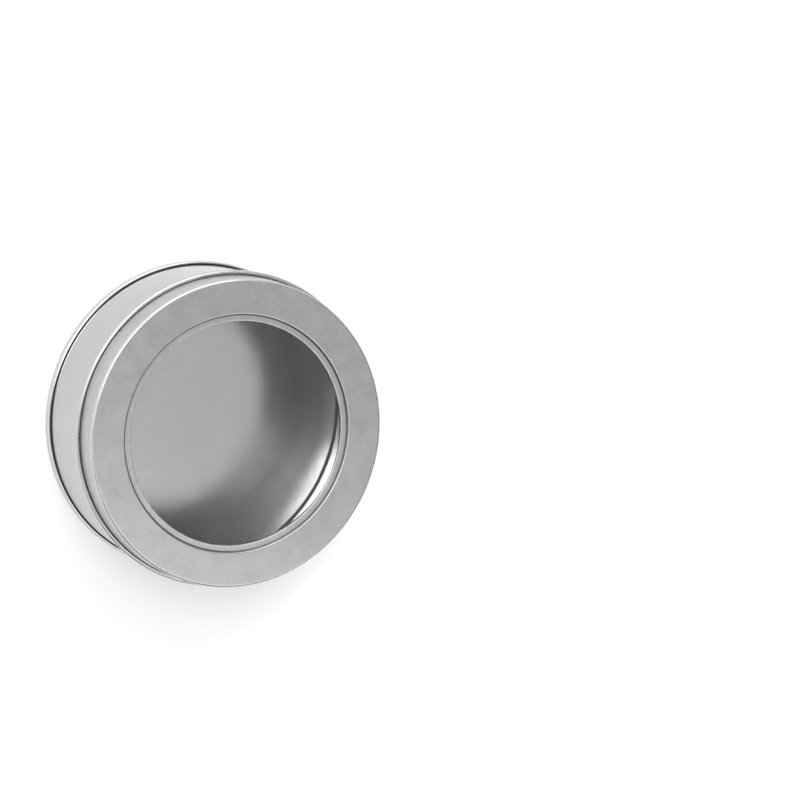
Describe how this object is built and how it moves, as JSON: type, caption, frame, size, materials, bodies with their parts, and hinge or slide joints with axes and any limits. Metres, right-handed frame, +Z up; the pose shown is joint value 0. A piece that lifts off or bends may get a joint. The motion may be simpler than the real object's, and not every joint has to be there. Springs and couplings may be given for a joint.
{
  "type": "window lid tin",
  "caption": "Round slip-lid storage tin in plain tinplate, with a clear window in the lid, a curled lid skirt and a double-seamed bottom.",
  "frame": {"origin": "centre of the base, on the plane the bottom seam stands on", "axes": "+Z up the axis of the tin towards the lid; +X through the lock seam of the body wall"},
  "size_m": [0.1028, 0.1028, 0.04],
  "materials": {
    "tinplate_body": "satin tinplate",
    "tinplate_end": "satin tinplate",
    "tinplate_lid": "satin tinplate with a fine stone grain",
    "clear_pane": "clear plastic sheet",
    "tinplate_ring": "satin tinplate"
  },
  "bodies": {
    "tin": {"body_wall": "tinplate_body", "bottom_end": "tinplate_end"},
    "lid": {"lid_shell": "tinplate_lid", "window_pane": "clear_pane", "window_retaining_ring": "tinplate_ring"}
  },
  "joints": [
    {"name": "lid_lift", "type": "slide", "parent": "tin", "child": "lid", "axis": [0, 0, 1], "range_m": [0, 0.06]}
  ]
}
